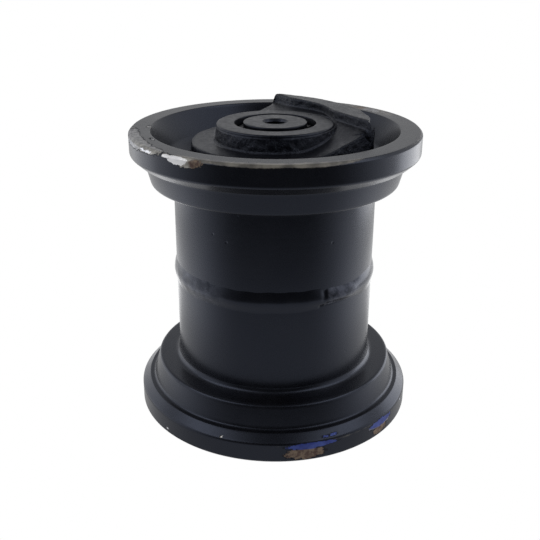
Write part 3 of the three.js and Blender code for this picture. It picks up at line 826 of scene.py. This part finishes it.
def spread_evenly(corners, count):
    """Points at equal distances along each column of corners. All columns are measured in one go, by
    laying their lengths end to end with a gap between them."""
    length = np.linalg.norm(np.diff(corners, axis=0), axis=2)
    travelled = np.concatenate([np.zeros((1, corners.shape[1])), np.cumsum(length + 1e-6, 0)])
    travelled /= travelled[-1]
    shift = 2 * np.arange(corners.shape[1])[None, :]
    wanted = np.linspace(0, 1, count)[:, None] + shift
    known = (travelled + shift).T.ravel()
    parts = [np.interp(wanted.T.ravel(), known, corners[..., k].T.ravel()) for k in range(2)]
    return np.stack([part.reshape(corners.shape[1], count).T for part in parts], -1)


def softened(skin, rounds):
    """Forging radii: each point moves towards the mean of its neighbours, the ends of a column held."""
    for _ in range(rounds):
        mean = skin.copy()
        mean[1:-1] = 0.5 * skin[1:-1] + 0.25 * (skin[2:] + skin[:-2])
        mean[1:-1] = 0.6 * mean[1:-1] + 0.2 * (np.roll(mean, 1, 1) + np.roll(mean, -1, 1))[1:-1]
        skin = mean
    return skin


def forging_paint():
    material, tree, shader = painted_material("sprayed_forging")
    place = place_on(tree)
    paint = add(tree, "ShaderNodeGroup", {
        "Colour": (0.0042, 0.0042, 0.0058, 1), "Dull Colour": (0.0085, 0.0085, 0.011, 1),
        "Roughness": 0.34, "Unevenness": 0.3, "Peel": 2.4,
    }, node_tree=PAINT)
    rough_skin = mask_from(tree, "forged")
    grit = noise(tree, place, 620.0, 5.0, 0.72)
    lumps = noise(tree, place, 170.0, 3.0, 0.5)
    height = plus(tree, times(tree, grit, 16.0), times(tree, lumps, 11.0))
    height = plus(tree, times(tree, height, rough_skin), paint.outputs["Height"])
    join_up(tree, shader, paint.outputs["Colour"], paint.outputs["Roughness"], height, 0.6)
    return material


FORGING = forging_paint()
collar_angles = full_turn(500)
collar_angles = np.where(collar_angles > np.pi, collar_angles - 2 * np.pi, collar_angles)


def in_every_column(path):
    """The same path at every angle of the collar."""
    return np.repeat(path[:, None, :], len(collar_angles), 1)


skin = softened(spread_evenly(forged_columns(collar_angles), 92), 3)
boss_top = in_every_column(rounded_path([
    (22.4, BOSS_FLOOR, 0.2, 1.4), (22.4, BOSS_TOP, 0.3, 1), (BOSS_RADIUS, BOSS_TOP, 1.1, 1),
    (BOSS_RADIUS, BOSS_TOP - 1.3, 0, 1)], closed=False))
underside = in_every_column(rounded_path([
    (35.6, PLATE_FLOOR, 0.3, 1), (35.6, 69.8, 0.8, 1.4), (25, 69.8, 0.8, 1.4), (25, 51.3, 0.5, 2),
    (17.8, 51.3, 0.4, 2), (17.8, 57, 0.1, 1), (20.3, 57, 0.2, 1), (20.3, 59.8, 0.2, 1), (17.8, 59.8, 0.1, 3),
    (17.8, BOSS_FLOOR, 0.3, 1),
], closed=False))
# The boss's wall leans out a little, down to where the forged skin starts.
wall_top = boss_top[-1]
foot_height = np.minimum(skin[0, :, 1] + 0.9, BOSS_TOP - 1.5)
wall_foot = np.stack([np.full_like(foot_height, BOSS_RADIUS + 0.45), foot_height], -1)
wall = wall_top + (wall_foot - wall_top) * np.linspace(0, 1, 9)[1:, None, None]
collar_rows = np.concatenate([boss_top, wall, skin, underside])
# How rough each row is: hardly at all on the turned boss, and not at all on the turned underside.
left_forged = np.concatenate([
    np.full(len(boss_top), 0.08), np.linspace(0.6, 1, len(wall)), np.ones(len(skin)),
    np.zeros(len(underside))])
left_forged = left_forged[:, None] * np.ones((1, len(collar_angles)))
# Steep skin is the roughest: there the dies tore the steel instead of pressing it.
along = np.roll(collar_rows, -1, 0) - np.roll(collar_rows, 1, 0)
steep = np.abs(along[..., 1]) / (np.linalg.norm(along, axis=2) + 1e-9)
steep = (steep + np.roll(steep, 1, 0) + np.roll(steep, -1, 0)) / 3
rough_skin = left_forged * (0.16 + 0.84 * steep)
radius, height = collar_rows[..., 0], collar_rows[..., 1]
for end, up in ENDS.items():
    grid = MM * np.stack([radius * np.cos(collar_angles), radius * np.sin(collar_angles), height], -1)
    fade = left_forged * np.clip((height - 62.9) / 2, 0, 1)
    lumps = (0.24 * waves(grid, (9, 26), 5 + up) + 0.26 * waves(grid, (3, 8), 9 + up, 60) * steep) * fade
    grid[..., 2] += MM * np.minimum(lumps * (1 - steep), (LIP_TOP - height) * 0.9)
    grid[..., :2] *= 1 + (lumps * steep / np.maximum(radius, 1))[..., None]
    grid[..., 2] *= up
    surface(f"forged_collar_{end}", grid, FORGING, "axle", [f"end_collar_{end}"],
            values={"forged": rough_skin})

# Retaining rings and lock pins.
# An open spring ring in a groove of the axle holds each collar on, down in the counterbore of the boss. A
# hard pin driven into the joint between collar and axle stops them turning on each other.


def open_ring(inner, outer, low, high, opening, half_gap, columns):
    """Flat ring with a gap: a rounded box section carried round the axle, drawn to a point section at both
    ends so that they close."""
    path = rounded_path([
        (inner, low, 0.25, 0.8), (outer, low, 0.25, 0.8), (outer, high, 0.25, 0.8), (inner, high, 0.25, 0.8)])
    middle = path.mean(0)
    along = np.linspace(0, 1, columns)
    turn = opening + half_gap + along * (2 * np.pi - 2 * half_gap)
    size = np.clip(np.minimum(along, 1 - along) * columns, 0, 1) ** 0.5
    section = middle + (path[:, None, :] - middle) * size[None, :, None]
    radius, height = section[..., 0], section[..., 1]
    return MM * np.stack([radius * np.cos(turn), radius * np.sin(turn), height], -1)


PIN_RADIUS, PIN_FOOT = 2.5, 66
PIN_CORNERS = [
    (0, PIN_FOOT, 0, 1), (PIN_RADIUS, PIN_FOOT, 0.5, 0.6), (PIN_RADIUS, BOSS_FLOOR, 0.5, 1),
    (0, BOSS_FLOOR, 0, 1),
]
spring = np.swapaxes(open_ring(16.5, 20.8, 79.3, 81.1, math.radians(-27), 0.16, 160), 0, 1)
# The pin stands on the line where collar and axle meet, on the side away from the lip.
pin = turned(rounded_path(PIN_CORNERS, closed=False), full_turn(40)) - (MM * END_RADIUS, 0, 0)
for end, up in ENDS.items():
    surface(f"spring_ring_{end}", spring * (1, 1, up), DARK_STEEL, "axle",
            [f"retaining_ring_{end}"], closed=False)
    surface(f"dowel_{end}", pin * (1, 1, up), DARK_STEEL, "axle", [f"lock_pin_{end}"],
            closed=False)

# Studio.
# Plain pale floor under a soft dome. The dome and the floor are bright behind and at both sides and dim in
# front and overhead, as a white table in a dark room is, so satin black shows bright sides and a dark middle.

VIEW_TURN, VIEW_TILT = math.radians(-31), math.radians(-22.52)
TO_FRONT = (math.cos(VIEW_TURN - math.pi / 2), math.sin(VIEW_TURN - math.pi / 2), 0.0)


def seen_or_lit(tree, strength):
    """White to the eye, and the given strength to everything that is lit by it."""
    seen = add(tree, "ShaderNodeLightPath").outputs["Is Camera Ray"]
    return blend_value(tree, seen, strength, 1.0)


def toward_front(tree, vector):
    """How far a vector reaches towards the front of the studio: its dot product with that direction."""
    dot = add(tree, "ShaderNodeVectorMath", {0: vector, 1: TO_FRONT}, operation="DOT_PRODUCT")
    return dot.outputs["Value"]


floor_material = bpy.data.materials.new("pale_floor")
floor_material.use_nodes = True
tree = floor_material.node_tree
tree.nodes.clear()
# The floor's own place is measured from under the roller, in metres, and bearing is 1 in front of it.
place = place_on(tree)
away = add(tree, "ShaderNodeVectorMath", {0: place}, operation="LENGTH").outputs["Value"]
forward = toward_front(tree, place)
bearing = combine(tree, "DIVIDE", forward, away)
in_front = ramp(tree, away, 0.18, 0.46, 0.42, 0.06)
# Behind and at the sides the glow drops close round the roller: a painted contact shadow in the light that
# the floor gives.
at_sides = times(tree, ramp(tree, away, 0.15, 0.21, 0.0, 0.40), ramp(tree, away, 0.25, 0.38, 1.0, 0.0))
close_behind = times(tree, ramp(tree, away, 0.10, 0.14, 0.0, 0.9), ramp(tree, away, 0.19, 0.27, 1.0, 0.0))
close_behind = times(tree, close_behind, ramp(tree, bearing, -0.55, -0.85))
at_sides = plus(tree, at_sides, close_behind)
at_sides = plus(tree, at_sides, ramp(tree, away, 0.11, 0.18, 0.62, 0.80))
turned_away = ramp(tree, bearing, 0.86, -0.10)
glow = blend_value(tree, turned_away, in_front, at_sides)
strength = seen_or_lit(tree, glow)
pale = add(tree, "ShaderNodeEmission", {"Strength": strength})
add(tree, "ShaderNodeOutputMaterial", {"Surface": pale.outputs[0]})

floor_mesh = bpy.data.meshes.new("floor")
# The lower lip clears the floor by a tenth of a millimetre.
reach, ground = 6.0, cad_box[0][2] - 0.0001
floor_mesh.from_pydata(
    [(-reach, -reach, 0), (reach, -reach, 0), (reach, reach, 0), (-reach, reach, 0)], [], [(0, 1, 2, 3)])
floor_mesh.materials.append(floor_material)
floor = bpy.data.objects.new("floor", floor_mesh)
floor.location.z = ground
bpy.context.scene.collection.objects.link(floor)

world = bpy.data.worlds.new("studio")
bpy.context.scene.world = world
world.use_nodes = True
tree = world.node_tree
tree.nodes.clear()
direction = add(tree, "ShaderNodeTexCoord").outputs["Generated"]
forward = toward_front(tree, direction)
upward = add(tree, "ShaderNodeSeparateXYZ", {0: direction}).outputs["Z"]
around = times(
    tree, ramp(tree, forward, 0.82, 0.12, 0.05, 0.80), ramp(tree, forward, -0.15, -0.75, 1.0, 0.70))
overhead = ramp(tree, upward, 0.45, 0.85, 1.0, 0.16)
sky_light = times(tree, around, overhead)
# Two long windows high up at the sides draw the thin lights in the fillets.
beside = times(tree, ramp(tree, forward, 0.66, 0.42), ramp(tree, forward, -0.35, -0.05))
high_up = times(tree, ramp(tree, upward, 0.58, 0.68), ramp(tree, upward, 0.88, 0.78))
sky_light = plus(tree, sky_light, times(tree, times(tree, beside, high_up), 1.3))
strength = seen_or_lit(tree, sky_light)
sky = add(tree, "ShaderNodeBackground", {"Color": (1, 1, 1, 1), "Strength": strength})
add(tree, "ShaderNodeOutputWorld", {"Surface": sky.outputs[0]})


def soft_box(name, azimuth, distance, height, width, tall, power):
    """Rectangular lamp that faces the roller. Azimuth is 0 behind the camera and positive to the right."""
    lamp = bpy.data.lights.new(name, "AREA")
    lamp.shape = "RECTANGLE"
    lamp.size, lamp.size_y, lamp.energy = width, tall, power
    stand = bpy.data.objects.new(name, lamp)
    bpy.context.scene.collection.objects.link(stand)
    bearing = VIEW_TURN - math.pi / 2 + math.radians(azimuth)
    stand.location = (distance * math.cos(bearing), distance * math.sin(bearing), height)
    stand.rotation_euler = (Vector((0, 0, 0.04)) - stand.location).to_track_quat("-Z", "Y").to_euler()
    stand.visible_camera = False


soft_box("soft_box_right", 118, 0.42, 0.02, 0.30, 0.22, 0.36)
soft_box("soft_box_left", -118, 0.42, 0.02, 0.30, 0.22, 0.12)

camera = bpy.data.cameras.new("camera")
camera.sensor_width = 36
camera.lens = 53.47
camera.shift_x, camera.shift_y = 0.0209, -0.0090
viewer = bpy.data.objects.new("camera", camera)
bpy.context.scene.collection.objects.link(viewer)
viewer.location = Matrix.Rotation(VIEW_TURN, 3, "Z") @ Vector((-0.00901, -0.43594, 0.18038))
viewer.rotation_euler = (math.radians(90) + VIEW_TILT, 0, VIEW_TURN)
bpy.context.scene.camera = viewer
bpy.context.scene.view_settings.view_transform = "Standard"
